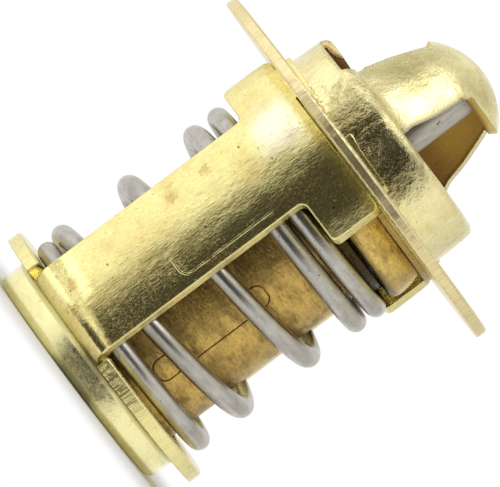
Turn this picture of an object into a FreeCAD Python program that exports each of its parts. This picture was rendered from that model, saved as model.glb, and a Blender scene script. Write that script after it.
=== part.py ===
"""Engine thermostat with a sliding sleeve, all stamped brass and one steel spring.

Millimetres. The origin is the centre of the flange's underside, the face that
seats in the housing. +Z points to the crown, the radiator side. The two legs of
the cage and the two straps of the crown lie along Y.
"""
import FreeCAD, Part
import math
import os

V = FreeCAD.Vector
AXIS = V(0, 0, 1)

# ---------------------------------------------------------------- driving sizes
# Valve: the sleeve and the pressed head that carries it.
sleeve_radius = 13.2
sleeve_sheet = 0.9
sleeve_flare = 0.25
sleeve_skirt_length = 15.1
sleeve_top_stub = 0.6
sleeve_end_inset = 0.3
head_sheet = 1.0
head_shelf_depth = 5.8
head_collar_length = 1.8
head_rim_draft = 0.65
head_edge = 0.9

# Keyed joint of the rolled sleeve.
seam_azimuth_deg = 57.0
seam_gap = 0.16
seam_depth = 0.45
key_width = 3.3
key_height = 3.4
key_corner = 1.2
upper_key_below_top = 13.9
lower_key_above_bottom = 8.9

# Spring.
wire_diameter = 2.8
top_closed_turns = 1.5
open_turns = 1.8
bottom_closed_turns = 0.7
blend_turns = 0.35
top_coil_gap = 0.4
bottom_closed_pitch = 1.9
spring_tip_azimuth_deg = 203.0
spans_per_turn = 4

# Cage: two T-shaped legs, a ring under the spring and a collar below the ring.
cage_length = 38.95
leg_sheet = 1.45
leg_half_width = 7.15
leg_edge_rounding = 0.3
arm_short = 5.5
arm_long = 6.65
arm_height = 7.4
head_lean = 0.25
head_lean_start = 2.2
foot_bend_radius = 2.5
foot_notch = 1.15
recess_half_width = 4.7
recess_depth = 0.15
ring_overhang = 0.55
ring_thickness = 1.9
collar_length = 5.95
collar_lip_thickness = 1.3

# Staked tabs on top of each leg, which pass through slots in the flange.
tab_inner_edge = 4.75
tab_width = 6.25
tab_head_height = 0.75
tab_tip_height = 1.15
tab_tip_overhang = 0.8
tab_overhang = 0.25

# Crown, drawn from sheet: a lip under the flange, a wall, a shoulder and a bell.
crown_sheet = 1.0
crown_lip_width = 1.35
crown_wall_draft = 0.3
crown_foot_rounding = 0.4
crown_shoulder_z = 8.05
shoulder_width = 2.5
bell_slope_deg = 28.75
bell_height = 13.3
cap_rim_overhang = 1.55
cap_height = 3.25
cap_cut_slope = 1.66
strap_half_width = 5.1
strap_taper = 0.8
strap_foot_flare = 0.45
strap_offset = 0.35
relief_depth = 1.4
relief_edge = 5.6
relief_reach = 6.0
window_corner = 0.8

# Flange, the flat ring that the housing clamps.
flange_radius = 27.0
flange_thickness = 1.6
seat_inset = 1.0

# Wax element and its fixed piston.
piston_radius = 3.3
piston_end_height = 6.0
piston_end_rounding = 2.6
guide_wall = 2.82
guide_neck_length = 8.0
guide_step = 0.7
clip_groove_depth = 0.7
clip_thickness = 1.0
clip_overhang = 1.3
clip_opening_deg = 60.0
guide_flange_thickness = 2.2
plate_sheet = 1.2
plate_drop = 0.2
plate_skirt_length = 5.5
case_sheet = 0.8
case_length = 24.8
case_rim = 1.3
boot_wall = 1.4
boot_flange_thickness = 1.6
wax_thickness = 2.52

# Named fits.
fixed_gap = 0.05
press_gap = 0.05
bore_gap = 0.1
running_gap = 0.08
valve_seat_gap = 0.1
guide_lip_gap = 0.3
arm_top_gap = 0.05
slot_clearance = 0.2
spring_sleeve_gap = 1.25
spring_leg_gap = 0.3
sleeve_collar_gap = 1.15
crown_leg_gap = 0.15

# ------------------------------------------------------------- worked-out sizes
# Radii, from the sleeve outwards.
sleeve_skirt_radius = sleeve_radius + sleeve_flare
spring_mean_radius = sleeve_radius + spring_sleeve_gap + wire_diameter / 2
leg_inner_radius = spring_mean_radius + wire_diameter / 2 + spring_leg_gap
leg_outer_radius = leg_inner_radius + leg_sheet
ring_radius = leg_outer_radius + ring_overhang
foot_root_radius = leg_outer_radius - foot_bend_radius - 0.1
collar_inner_radius = sleeve_skirt_radius + sleeve_collar_gap
collar_radius = collar_inner_radius + leg_sheet
crown_lip_radius = leg_inner_radius - crown_leg_gap
crown_wall_radius = crown_lip_radius - crown_lip_width
bell_foot_radius = crown_wall_radius - crown_wall_draft - shoulder_width
head_radius = crown_lip_radius - head_edge
head_rim_radius = head_radius - head_rim_draft
seat_inner_radius = leg_outer_radius + seat_inset

# Heights, from the flange's underside.
arm_top_z = -arm_top_gap
arm_bottom_z = arm_top_z - arm_height
ring_top_z = -cage_length
ring_bottom_z = ring_top_z - ring_thickness
collar_bottom_z = ring_top_z - collar_length
head_shelf_z = -head_shelf_depth
shelf_top_z = head_shelf_z + head_sheet
sleeve_top_z = shelf_top_z + sleeve_top_stub
sleeve_bottom_z = collar_bottom_z + sleeve_end_inset
sleeve_step_z = sleeve_bottom_z + sleeve_skirt_length
upper_key_top_z = sleeve_top_z - upper_key_below_top
lower_key_bottom_z = sleeve_bottom_z + lower_key_above_bottom
top_closed_pitch = wire_diameter + top_coil_gap

# Ends of the T-shaped head and of its tabs, from the middle of a leg.
arm_short_end = leg_half_width + arm_short
arm_long_end = leg_half_width + arm_long
tab_outer_edge = tab_inner_edge + tab_width

# Crown.
crown_top_z = crown_shoulder_z + bell_height
relief_z = crown_shoulder_z - relief_depth
cap_rim_z = crown_top_z - cap_height
bell_tangent = math.tan(math.radians(bell_slope_deg))
bell_top_radius = bell_foot_radius - bell_height * bell_tangent
dome_radius = bell_top_radius / (math.sqrt(1 + bell_tangent ** 2) - bell_tangent)
cap_rim_radius = bell_top_radius + cap_rim_overhang
strap_top_half_width = strap_half_width - strap_taper
strap_foot = strap_half_width + strap_foot_flare
strap_left_edge = strap_offset + strap_half_width

# Wax element.
piston_bore = piston_radius + running_gap
guide_neck_radius = piston_bore + guide_wall
guide_step_radius = guide_neck_radius + guide_step
guide_groove_radius = guide_neck_radius - clip_groove_depth
clip_radius = guide_neck_radius + clip_overhang
case_radius = piston_bore + boot_wall + fixed_gap + wax_thickness + fixed_gap + case_sheet
case_rim_radius = case_radius + case_rim
plate_z = shelf_top_z - plate_drop
guide_top_z = plate_z + guide_neck_length
case_lip_z = plate_z - plate_sheet
case_bottom_z = case_lip_z - case_length
piston_bottom_z = case_bottom_z + piston_end_height
guide_flange_top_z = case_lip_z - case_sheet
boot_top_z = guide_flange_top_z - guide_flange_thickness
case_ledge_z = boot_top_z - boot_flange_thickness


# ---------------------------------------------------------------------- helpers
def corner_arc(before, corner, after, radius):
    """Start, middle and end of the arc of that radius which rounds a corner."""
    back = (before - corner).normalize()
    ahead = (after - corner).normalize()
    half_angle = back.getAngle(ahead) / 2
    reach = radius / math.tan(half_angle)
    centre = corner + (back + ahead).normalize() * (radius / math.sin(half_angle))
    middle = centre + (corner - centre).normalize() * radius
    return corner + back * reach, middle, corner + ahead * reach


def two_arcs(start, start_way, end, end_way):
    """Pair of tangent arcs from one point and direction to another."""
    chord = end - start
    along = chord.dot(start_way + end_way)
    turn = 2 * (1 - start_way.dot(end_way))
    reach = (math.sqrt(along ** 2 + turn * chord.dot(chord)) - along) / turn
    first = start + start_way * reach
    second = end - end_way * reach
    join = (first + second) * 0.5
    edges = []
    for before, corner, after in ((start, first, join), (join, second, end)):
        half_angle = (before - corner).getAngle(after - corner) / 2
        middle = corner_arc(before, corner, after, reach * math.tan(half_angle))[1]
        edges.append(Part.Arc(before, middle, after).toShape())
    return edges


def rounded_face(corners):
    """Face in the XZ plane. Each corner is (x, z) or (x, z, radius of its arc)."""
    points = [V(c[0], 0, c[1]) for c in corners]
    radii = [c[2] if len(c) > 2 else 0 for c in corners]
    count = len(points)
    edges = []
    pen = None
    first = None
    for i in range(count):
        if radii[i] > 0:
            start, middle, end = corner_arc(points[i - 1], points[i], points[(i + 1) % count], radii[i])
        else:
            start = end = points[i]
        if pen is None:
            first = start
        elif pen.distanceToPoint(start) > 1e-6:
            edges.append(Part.makeLine(pen, start))
        if radii[i] > 0:
            edges.append(Part.Arc(start, middle, end).toShape())
        pen = end
    if pen.distanceToPoint(first) > 1e-6:
        edges.append(Part.makeLine(pen, first))
    return Part.Face(Part.Wire(edges))


def turned(corners):
    """Solid of revolution about Z from a rounded outline of (r, z) corners."""
    return rounded_face(corners).revolve(V(0, 0, 0), AXIS, 360)


def bent_sheet(path, thickness):
    """Corners of a sheet's section: path is one skin, and the metal lies on its left."""
    last = len(path) - 1
    directions = []
    for i in range(last):
        step = V(path[i + 1][0] - path[i][0], 0, path[i + 1][1] - path[i][1])
        directions.append(step.normalize())
    inner = []
    for i, corner in enumerate(path):
        before = directions[max(i - 1, 0)]
        after = directions[min(i, last - 1)]
        left_before = V(-before.z, 0, before.x)
        left_after = V(-after.z, 0, after.x)
        shift = (left_before + left_after) * (thickness / (1 + left_before.dot(left_after)))
        radius = corner[2] if len(corner) > 2 else 0
        if radius > 0:
            turns_left = before.x * after.z - before.z * after.x > 0
            radius = radius - thickness if turns_left else radius + thickness
            radius = radius if radius > 0.3 * thickness else 0
        inner.append((corner[0] + shift.x, corner[1] + shift.z, radius))
    return list(path) + inner[::-1]


def ring(inner, outer, low, high):
    """Plain ring about Z."""
    return turned([(inner, low), (outer, low), (outer, high), (inner, high)])


def slab(corners, near, far):
    """Outline of (x, z) corners, made solid along -Y from near to far."""
    face = rounded_face(corners)
    face.translate(V(0, -near, 0))
    return face.extrude(V(0, near - far, 0))


def half_turned(shape):
    """Copy of the shape on the other side of the axis."""
    other = shape.copy()
    other.rotate(V(0, 0, 0), AXIS, 180)
    return other


def save(shape, name):
    """Write one sub-part as its own STEP file."""
    assert shape.isValid(), name
    shape.exportStep("parts/" + name + ".step")
    print(name, "solids", len(shape.Solids), "volume", round(shape.Volume, 2))


# ------------------------------------------------------------------------ crown
def crown():
    """Drawn bell with two windows, which leave two straps and a domed cap.

    The bell is turned a quarter round, so that the seam of its faces is on a strap.
    """
    skin = [
        (crown_lip_radius, 0),
        (crown_wall_radius, 0, crown_foot_rounding),
        (crown_wall_radius - crown_wall_draft, crown_shoulder_z, 1.25),
        (bell_foot_radius, crown_shoulder_z, 2.05),
        (bell_top_radius, crown_top_z, dome_radius),
        (0, crown_top_z),
    ]
    body = turned(bent_sheet(skin, crown_sheet))
    body.rotate(V(0, 0, 0), AXIS, 90)
    reach = 2 * crown_lip_radius
    cone_tip_z = cap_rim_z - cap_cut_slope * cap_rim_radius
    cone = turned([
        (0, crown_shoulder_z),
        (reach, crown_shoulder_z),
        (reach, cone_tip_z + cap_cut_slope * reach),
        ((crown_shoulder_z - cone_tip_z) / cap_cut_slope, crown_shoulder_z + 0.01),
        (0, crown_shoulder_z + 0.01),
    ])
    cutter = cone.cut(slab(strap_outline(), -reach, reach))
    corners = [e for e in cutter.Edges if isinstance(e.Curve, Part.Hyperbola)]
    cutter = cutter.makeFillet(window_corner, corners)
    body = body.cut(cutter)
    relief = slab(relief_outline(), relief_reach, reach)
    return body.cut(relief).cut(half_turned(relief))


def strap_outline():
    """Width of a strap from its flared foot to the cap, punched a little off centre."""
    low = crown_shoulder_z - 1
    flare_z = crown_shoulder_z + 1.6
    right = [
        (strap_foot, low),
        (strap_foot, crown_shoulder_z),
        (strap_half_width, flare_z, 2.0),
        (strap_half_width, crown_shoulder_z + 4.5, 12.0),
        (strap_top_half_width, cap_rim_z),
        (strap_top_half_width, crown_top_z + 2),
    ]
    both = right + [(-corner[0],) + corner[1:] for corner in reversed(right)]
    return [(corner[0] - strap_offset,) + corner[1:] for corner in both]


def relief_outline():
    """Deeper end of a window, where the wall itself is cut down beside a strap."""
    far = 2 * crown_lip_radius
    high = crown_shoulder_z + 1.2
    return [(-far, relief_z), (-relief_edge, relief_z, 0.3), (-relief_edge + 0.8, crown_shoulder_z, 0.4),
            (-strap_left_edge, high), (-far, high)]


# ----------------------------------------------------------------------- flange
def flange():
    """Flat ring with a bore for the crown and four slots for the cage's tabs.

    The seat, which the housing clamps, stays a face of its own on both sides.
    """
    bore = crown_wall_radius + bore_gap
    middle = turned([
        (bore, crown_foot_rounding + bore_gap),
        (bore + crown_foot_rounding + bore_gap, 0),
        (seat_inner_radius, 0),
        (seat_inner_radius, flange_thickness),
        (bore, flange_thickness),
    ])
    seat = turned([
        (seat_inner_radius, 0),
        (flange_radius, 0, 0.3),
        (flange_radius, flange_thickness, 0.4),
        (seat_inner_radius, flange_thickness),
    ])
    body = middle.fuse(seat)
    cutter = ring(leg_inner_radius - slot_clearance, tab_outer_radius() + slot_clearance,
                  -1, flange_thickness + 1)
    inner = tab_inner_edge - slot_clearance
    outer = tab_outer_edge + slot_clearance
    for side in (-1, 1):
        window = slab([(side * inner, -2), (side * outer, -2), (side * outer, 4), (side * inner, 4)],
                      0, flange_radius)
        slot = cutter.common(window)
        body = body.cut(slot).cut(half_turned(slot))
    return body


# ------------------------------------------------------------------------- cage
def tab_outer_radius():
    """The leg's outer skin leans in towards the tabs."""
    return leg_outer_radius - head_lean


def leg_outline():
    """A leg with its T-shaped head, flat on: (x, z) corners."""
    low = collar_bottom_z
    return [
        (leg_half_width, low),
        (leg_half_width, arm_bottom_z, 0.9),
        (arm_short_end, arm_bottom_z, 0.8),
        (arm_short_end, arm_top_z, 1.0),
        (-arm_long_end, arm_top_z, 1.0),
        (-arm_long_end, arm_bottom_z, 1.0),
        (-leg_half_width, arm_bottom_z, 0.9),
        (-leg_half_width, low),
    ]


def tab_heads():
    """Outlines of the two staked heads of a leg, the first with a raised tip."""
    low = flange_thickness
    flat = low + tab_head_height
    inner = tab_inner_edge - tab_tip_overhang
    outer = tab_outer_edge + tab_overhang
    raised = [(inner, low), (inner, low + tab_tip_height, 0.35), (inner + 2.4, flat, 2.0),
              (outer, flat - 0.1, 0.3), (outer, low)]
    tapered = [(-outer, low), (-outer + 0.2, flat, 0.3), (-inner - 2.4, flat - 0.1, 1.5),
               (-inner + 0.9, low)]
    return raised, tapered


def leg_recess():
    """Outline of the shallow recess in a leg's top edge."""
    low = arm_top_z - recess_depth
    return [(recess_half_width, arm_top_z + 1), (recess_half_width, low, 0.2),
            (-recess_half_width, low, 0.2), (-recess_half_width, arm_top_z + 1)]


def side_edges(body):
    """The long outer edges down the two sides of a leg's stem."""
    found = []
    for edge in body.Edges:
        box = edge.BoundBox
        tall = box.ZLength > (arm_bottom_z - ring_top_z) / 2
        outside = math.hypot(box.XMax, box.YMax) > leg_outer_radius - 0.05
        if tall and outside and abs(abs(box.XMax) - leg_half_width) < 0.01:
            found.append(edge)
    return found


def leg():
    """One leg of the cage with its foot, its head and its tabs."""
    foot_inner = foot_root_radius - 0.3
    section = [
        (foot_inner, ring_bottom_z),
        (leg_outer_radius, ring_bottom_z, foot_bend_radius),
        (leg_outer_radius, arm_top_z - head_lean_start, 20.0),
        (tab_outer_radius(), arm_top_z),
        (leg_inner_radius, arm_top_z),
        (leg_inner_radius, ring_top_z, 0.8),
        (foot_inner, ring_top_z),
    ]
    body = turned(section).common(slab(leg_outline(), 0, 2 * leg_outer_radius))
    body = body.makeFillet(leg_edge_rounding, side_edges(body))
    body = body.cut(slab(leg_recess(), 0, 2 * leg_outer_radius))
    stem_ring = ring(leg_inner_radius, tab_outer_radius(), arm_top_z - 1.5, flange_thickness + 0.1)
    head_ring = turned([
        (leg_inner_radius - tab_overhang, flange_thickness),
        (tab_outer_radius() + tab_overhang, flange_thickness),
        (tab_outer_radius() + tab_overhang, flange_thickness + tab_tip_height, 0.35),
        (leg_inner_radius - tab_overhang, flange_thickness + tab_tip_height, 0.35),
    ])
    for side, outline in zip((1, -1), tab_heads()):
        inner = side * tab_inner_edge
        outer = side * tab_outer_edge
        window = slab([(inner, -3), (outer, -3), (outer, 5), (inner, 5)], 0, flange_radius)
        body = body.fuse(stem_ring.common(window))
        body = body.fuse(head_ring.common(slab(outline, 0, flange_radius)))
    return body


def cage():
    """Ring and collar in one piece with the two legs."""
    lip_radius = sleeve_skirt_radius + guide_lip_gap
    lip_top_z = collar_bottom_z + collar_lip_thickness
    body = turned([
        (ring_radius, ring_top_z, 0.45),
        (collar_inner_radius, ring_top_z, 1.0),
        (collar_inner_radius, lip_top_z),
        (lip_radius, lip_top_z),
        (lip_radius, collar_bottom_z),
        (collar_radius, collar_bottom_z, 1.1),
        (collar_radius, ring_bottom_z, 0.8),
        (ring_radius, ring_bottom_z),
    ])
    rim = ring(foot_root_radius, 2 * ring_radius, ring_bottom_z - 1, ring_top_z + 1)
    half = leg_half_width + foot_notch
    across = slab([(-half, 2 * ring_bottom_z), (half, 2 * ring_bottom_z), (half, 0), (-half, 0)],
                  -2 * ring_radius, 2 * ring_radius)
    body = body.cut(rim.common(across))
    one = leg()
    return body.fuse([one, half_turned(one)])


# ----------------------------------------------------------------------- spring
def spring_blend(turn, total):
    """Share of the open pitch at a place along the wire, and the closed pitch near it."""
    from_top = (turn - top_closed_turns) / blend_turns
    from_bottom = (total - bottom_closed_turns - turn) / blend_turns
    if from_top < from_bottom:
        return min(max(from_top, 0), 1), top_closed_pitch
    return min(max(from_bottom, 0), 1), bottom_closed_pitch


def spring_places():
    """Points and directions along the wire, from its top end down to its bottom end."""
    top_z = head_shelf_z - fixed_gap - wire_diameter / 2
    bottom_z = ring_top_z + fixed_gap + wire_diameter / 2
    total = top_closed_turns + open_turns + bottom_closed_turns + 2 * blend_turns
    count = round(total * spans_per_turn)
    step = total / count
    middles = [spring_blend((i + 0.5) * step, total) for i in range(count)]
    closed_fall = sum(step * (1 - share) * closed for share, closed in middles)
    open_pitch = (top_z - bottom_z - closed_fall) / sum(step * share for share, closed in middles)
    z = top_z
    places = []
    for i in range(count + 1):
        angle = math.radians(spring_tip_azimuth_deg - 90) - 2 * math.pi * i * step
        share, closed = spring_blend(i * step, total)
        fall = (closed + (open_pitch - closed) * share) / (2 * math.pi * spring_mean_radius)
        place = V(spring_mean_radius * math.cos(angle), spring_mean_radius * math.sin(angle), z)
        places.append((place, V(math.sin(angle), -math.cos(angle), -fall).normalize()))
        if i < count:
            share, closed = middles[i]
            z -= (closed + (open_pitch - closed) * share) * step
    return places


def coil_spring():
    """Right-hand compression spring with closed ends, from the ring to the head's shelf."""
    places = spring_places()
    edges = []
    for (start, start_way), (end, end_way) in zip(places, places[1:]):
        edges += two_arcs(start, start_way, end, end_way)
    circle = Part.makeCircle(wire_diameter / 2, places[0][0], places[0][1])
    return Part.Wire(edges).makePipe(Part.Face(Part.Wire(circle)))


# ------------------------------------------------------------------------ valve
def valve_head():
    """Pressed ring: a rim that seats on the crown's lip, a shelf and a collar on the sleeve."""
    collar = sleeve_radius + press_gap + head_sheet
    rim_z = -crown_sheet - valve_seat_gap
    skin = [
        (collar, head_shelf_z - head_collar_length),
        (collar, head_shelf_z, 0.3),
        (head_radius, head_shelf_z, 1.2),
        (head_radius, head_shelf_z + 2.6, 8.0),
        (head_rim_radius, rim_z),
    ]
    return turned(bent_sheet(skin, head_sheet))


def sleeve():
    """Tube rolled from strip, slightly wider over its lower part, with a keyed joint."""
    skin = [
        (sleeve_skirt_radius, sleeve_bottom_z),
        (sleeve_skirt_radius, sleeve_step_z - 2, 6.0),
        (sleeve_radius, sleeve_step_z, 6.0),
        (sleeve_radius, sleeve_top_z),
    ]
    return turned(bent_sheet(skin, sleeve_sheet)).cut(seam())


def seam():
    """Fine groove of the joint: a straight line between two round keys, to the left of it."""
    line_low_z = lower_key_bottom_z + key_height / 2
    line_high_z = upper_key_top_z - key_height / 2
    half = seam_gap / 2
    line = slab([(-half, line_low_z), (half, line_low_z), (half, line_high_z), (-half, line_high_z)],
                0, -2 * sleeve_radius)
    upper = key_loop(upper_key_top_z - key_height)
    lower = key_loop(lower_key_bottom_z)
    skin = ring(sleeve_radius - seam_depth, 2 * sleeve_radius, sleeve_bottom_z, sleeve_top_z)
    groove = line.fuse([upper, lower]).common(skin)
    groove.rotate(V(0, 0, 0), AXIS, seam_azimuth_deg - 180)
    return groove


def key_loop(low_z):
    """Outline of one key as a thin closed loop along +Y, whose one side is on the seam."""
    loops = []
    for inset in (-seam_gap / 2, seam_gap / 2):
        left, right = inset, key_width - inset
        low, high = low_z + inset, low_z + key_height - inset
        corner = key_corner - inset
        loops.append(slab([(left, low, corner), (right, low, corner), (right, high, corner),
                           (left, high, corner)], 0, -2 * sleeve_radius))
    return loops[0].cut(loops[1])


# ---------------------------------------------------------------------- element
def element_plate():
    """Cup-shaped plate pressed into the sleeve, which closes it and carries the wax element."""
    skirt = sleeve_radius - sleeve_sheet - press_gap
    skin = [
        (skirt, plate_z - plate_skirt_length),
        (skirt, plate_z, 1.8),
        (guide_neck_radius + press_gap, plate_z),
    ]
    return turned(bent_sheet(skin, plate_sheet))


def element_guide():
    """Turned guide: a neck round the piston and a flange that the case is rolled over."""
    groove = guide_groove_radius
    groove_top_z = plate_z + clip_thickness + 2 * fixed_gap
    flange_edge = case_rim_radius - case_sheet - fixed_gap
    return turned([
        (piston_bore, boot_top_z + fixed_gap),
        (flange_edge, boot_top_z + fixed_gap),
        (flange_edge, guide_flange_top_z - fixed_gap),
        (guide_step_radius, guide_flange_top_z - fixed_gap),
        (guide_step_radius, case_lip_z - fixed_gap),
        (guide_neck_radius, case_lip_z - fixed_gap),
        (guide_neck_radius, plate_z),
        (groove, plate_z),
        (groove, groove_top_z),
        (guide_neck_radius, groove_top_z),
        (guide_neck_radius, guide_top_z, 0.8),
        (piston_bore, guide_top_z),
    ])


def retaining_clip():
    """Open ring in the guide's groove, which holds the element to the plate."""
    groove = guide_groove_radius + fixed_gap
    body = ring(groove, clip_radius, plate_z + fixed_gap, plate_z + fixed_gap + clip_thickness)
    half = math.radians(clip_opening_deg / 2)
    reach = 2 * clip_radius
    wedge = Part.Face(Part.makePolygon([
        V(0, 0, -10), V(reach * math.cos(half), reach * math.sin(half), -10),
        V(reach * math.cos(half), -reach * math.sin(half), -10), V(0, 0, -10)]))
    return body.cut(wedge.extrude(V(0, 0, 20)))


def element_case():
    """Drawn cup that holds the wax, with a ledge for the boot and a rolled-over rim."""
    skin = [
        (0, case_bottom_z),
        (case_radius, case_bottom_z, 2.6),
        (case_radius, case_ledge_z - case_sheet),
        (case_rim_radius, case_ledge_z - case_sheet, 0.8),
        (case_rim_radius, case_lip_z, 0.8),
        (guide_step_radius + 0.25, case_lip_z),
    ]
    return turned(bent_sheet(skin, case_sheet))


def boot_end_z():
    """Outside of the boot's closed end."""
    return piston_bottom_z - bore_gap - boot_wall


def rubber_boot():
    """Rubber sock round the piston, with a flange clamped under the guide."""
    sock = piston_bore + boot_wall
    return turned([
        (0, boot_end_z()),
        (sock, boot_end_z(), 1.5),
        (sock, case_ledge_z + fixed_gap),
        (case_rim_radius - case_sheet - fixed_gap, case_ledge_z + fixed_gap),
        (case_rim_radius - case_sheet - fixed_gap, boot_top_z),
        (piston_bore, boot_top_z),
        (piston_bore, piston_bottom_z - bore_gap),
        (0, piston_bottom_z - bore_gap),
    ])


def wax_charge():
    """Wax that fills the case round the boot."""
    sock = piston_bore + boot_wall + fixed_gap
    wall = case_radius - case_sheet - fixed_gap
    floor_z = case_bottom_z + case_sheet + fixed_gap
    return turned([
        (0, floor_z),
        (wall, floor_z, 1.9),
        (wall, case_ledge_z - fixed_gap),
        (sock, case_ledge_z - fixed_gap),
        (sock, boot_end_z() - fixed_gap, 1.6),
        (0, boot_end_z() - fixed_gap),
    ])


def piston():
    """Plain rod whose rounded end bears under the crown's cap."""
    flat = piston_radius - piston_end_rounding
    reach = dome_radius - crown_sheet - fixed_gap - piston_end_rounding
    top_z = crown_top_z - dome_radius + piston_end_rounding + math.sqrt(reach ** 2 - flat ** 2)
    return turned([
        (0, piston_bottom_z),
        (piston_radius, piston_bottom_z),
        (piston_radius, top_z, piston_end_rounding),
        (0, top_z),
    ])


os.makedirs("parts", exist_ok=True)
save(crown(), "crown")
save(flange(), "flange")
save(cage(), "cage")
save(coil_spring(), "coil_spring")
save(valve_head(), "valve_head")
save(sleeve(), "sleeve")
save(element_plate(), "element_plate")
save(element_guide(), "element_guide")
save(retaining_clip(), "retaining_clip")
save(element_case(), "element_case")
save(rubber_boot(), "rubber_boot")
save(wax_charge(), "wax_charge")
save(piston(), "piston")
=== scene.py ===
# %% [markdown]
# # An engine thermostat
# This part lets coolant through to the radiator once the engine is warm. A flat
# flange is clamped in the housing. The domed crown stands above it, and a cage of two
# legs hangs below it. A spring holds the valve head shut against the crown, and a
# wax element pushes the head and its sleeve down along a fixed rod when its wax melts.
#
# The construction is already a CAD model, so this file adds the finishes, the
# spring's drawn wire, the light and the camera. Everything is in metres.

# %% Load the fixed frame
import math

import bpy
from mathutils import Matrix, Vector


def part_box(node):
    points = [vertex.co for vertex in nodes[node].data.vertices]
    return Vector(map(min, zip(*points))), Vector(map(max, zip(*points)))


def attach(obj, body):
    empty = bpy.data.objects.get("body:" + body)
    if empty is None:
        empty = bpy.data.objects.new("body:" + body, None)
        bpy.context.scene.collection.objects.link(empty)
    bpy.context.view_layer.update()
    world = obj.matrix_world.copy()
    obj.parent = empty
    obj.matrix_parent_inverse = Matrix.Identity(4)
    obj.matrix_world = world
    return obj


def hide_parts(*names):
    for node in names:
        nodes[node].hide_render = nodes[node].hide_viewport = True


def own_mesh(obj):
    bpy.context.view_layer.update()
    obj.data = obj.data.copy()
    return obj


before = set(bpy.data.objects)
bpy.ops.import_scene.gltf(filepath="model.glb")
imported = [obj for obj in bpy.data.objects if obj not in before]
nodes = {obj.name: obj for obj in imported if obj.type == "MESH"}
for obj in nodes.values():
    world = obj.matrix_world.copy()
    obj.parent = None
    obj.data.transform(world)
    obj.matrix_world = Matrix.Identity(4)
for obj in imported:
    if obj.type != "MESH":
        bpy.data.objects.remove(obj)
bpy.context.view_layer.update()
MM = 0.001
print("pieces from the CAD:", ", ".join(sorted(nodes)))

# %% [markdown]
# ## Camera
# The camera stands far away with a long lens, so the round flange shows almost
# edge-on, as a straight bar. It is rolled over, which makes the upright part lean to
# the right. Its turn could be given as angles, but three directions are easier to
# follow: right, up and back.

# %% Choose the camera's place
CAMERA_AZIMUTH = math.radians(24.0)
CAMERA_HEIGHT = -10.0 * MM
CAMERA_DISTANCE = 0.9
AIM_HEIGHT = -16.1 * MM
AIM_ASIDE = -0.42 * MM

towards_camera = Vector((math.sin(CAMERA_AZIMUTH), -math.cos(CAMERA_AZIMUTH), 0.0))
sideways = Vector((math.cos(CAMERA_AZIMUTH), math.sin(CAMERA_AZIMUTH), 0.0))
aim = sideways * AIM_ASIDE + Vector((0.0, 0.0, AIM_HEIGHT))
camera_place = sideways * AIM_ASIDE + towards_camera * CAMERA_DISTANCE + Vector((0.0, 0.0, CAMERA_HEIGHT))
print("camera at", [round(c, 3) for c in camera_place], "m")

# %% Turn the camera and choose its lens
CAMERA_ROLL = math.radians(53.0)
FRAME_WIDTH = 64.7 * MM
SENSOR_WIDTH = 36.0

back = (camera_place - aim).normalized()
level = Vector((0.0, 0.0, 1.0)).cross(back).normalized()
upright = back.cross(level)
right = level * math.cos(CAMERA_ROLL) + upright * math.sin(CAMERA_ROLL)
up = upright * math.cos(CAMERA_ROLL) - level * math.sin(CAMERA_ROLL)
turn = Matrix((right, up, back)).transposed().to_4x4()

camera_data = bpy.data.cameras.new("camera")
camera_data.sensor_width = SENSOR_WIDTH
camera_data.lens = SENSOR_WIDTH * (camera_place - aim).length / FRAME_WIDTH
camera_data.clip_start = 0.05
camera_data.clip_end = 20.0
camera = bpy.data.objects.new("camera", camera_data)
camera.matrix_world = Matrix.Translation(camera_place) @ turn
bpy.context.scene.collection.objects.link(camera)
bpy.context.scene.camera = camera
bpy.context.scene.view_settings.view_transform = "Standard"
print("lens", round(camera_data.lens, 1), "mm")

# %% [markdown]
# ## Helpers for node trees
# A material, a world or a Geometry Nodes modifier is a small network of nodes. These
# helpers add a node with its values in one line, so that the cells below read like a
# list.

# %% Add a node
def fill(tree, made, values):
    """Give a node its inputs, by name or number: a number to keep, or a socket to link."""
    for key, value in (values or {}).items():
        if isinstance(value, bpy.types.NodeSocket):
            tree.links.new(value, made.inputs[key])
        else:
            made.inputs[key].default_value = value


def add(tree, kind, values=None, **settings):
    """Add a node with its settings and its inputs."""
    made = tree.nodes.new(kind)
    for key, value in settings.items():
        setattr(made, key, value)
    fill(tree, made, values)
    return made


print("helpers for nodes: fill, add")

# %% [markdown]
# Most nodes are arithmetic. A mask is a value from 0 to 1 that says where a mark is.

# %% Small sums and masks
NUMBER_STEPS = ("LENGTH", "DISTANCE", "DOT_PRODUCT")


def calculate(tree, operation, first, second=0.0):
    """One step of arithmetic."""
    return add(tree, "ShaderNodeMath", {0: first, 1: second}, operation=operation).outputs[0]


def vector_step(tree, operation, first, second=None):
    """One step of arithmetic on vectors, which gives a vector or, for a few steps, a number."""
    values = {0: first}
    if second is not None:
        values[1] = second
    made = add(tree, "ShaderNodeVectorMath", values, operation=operation)
    return made.outputs["Value" if operation in NUMBER_STEPS else 0]


def ramp(tree, value, low, high, out_low=0.0, out_high=1.0):
    """Turn a value between low and high into a smooth step between two others."""
    made = add(tree, "ShaderNodeMapRange", {0: value, 1: low, 2: high, 3: out_low, 4: out_high},
               interpolation_type="SMOOTHSTEP")
    return made.outputs[0]


def both(tree, first, second):
    """Where two masks overlap, or a mask made weaker by a factor."""
    return calculate(tree, "MULTIPLY", first, second)


def either(tree, first, second):
    """Where at least one of two masks is."""
    return calculate(tree, "MAXIMUM", first, second)


print("vector steps that give a number:", ", ".join(NUMBER_STEPS))

# %% Colours
def rgb(red, green, blue):
    """A colour with full alpha, which is how a colour socket wants it."""
    return (red, green, blue, 1.0)


def blend(tree, share, first, second):
    """Mix two colours by a share between 0 and 1."""
    made = add(tree, "ShaderNodeMix", {0: share, 6: first, 7: second}, data_type="RGBA")
    return made.outputs[2]


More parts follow.
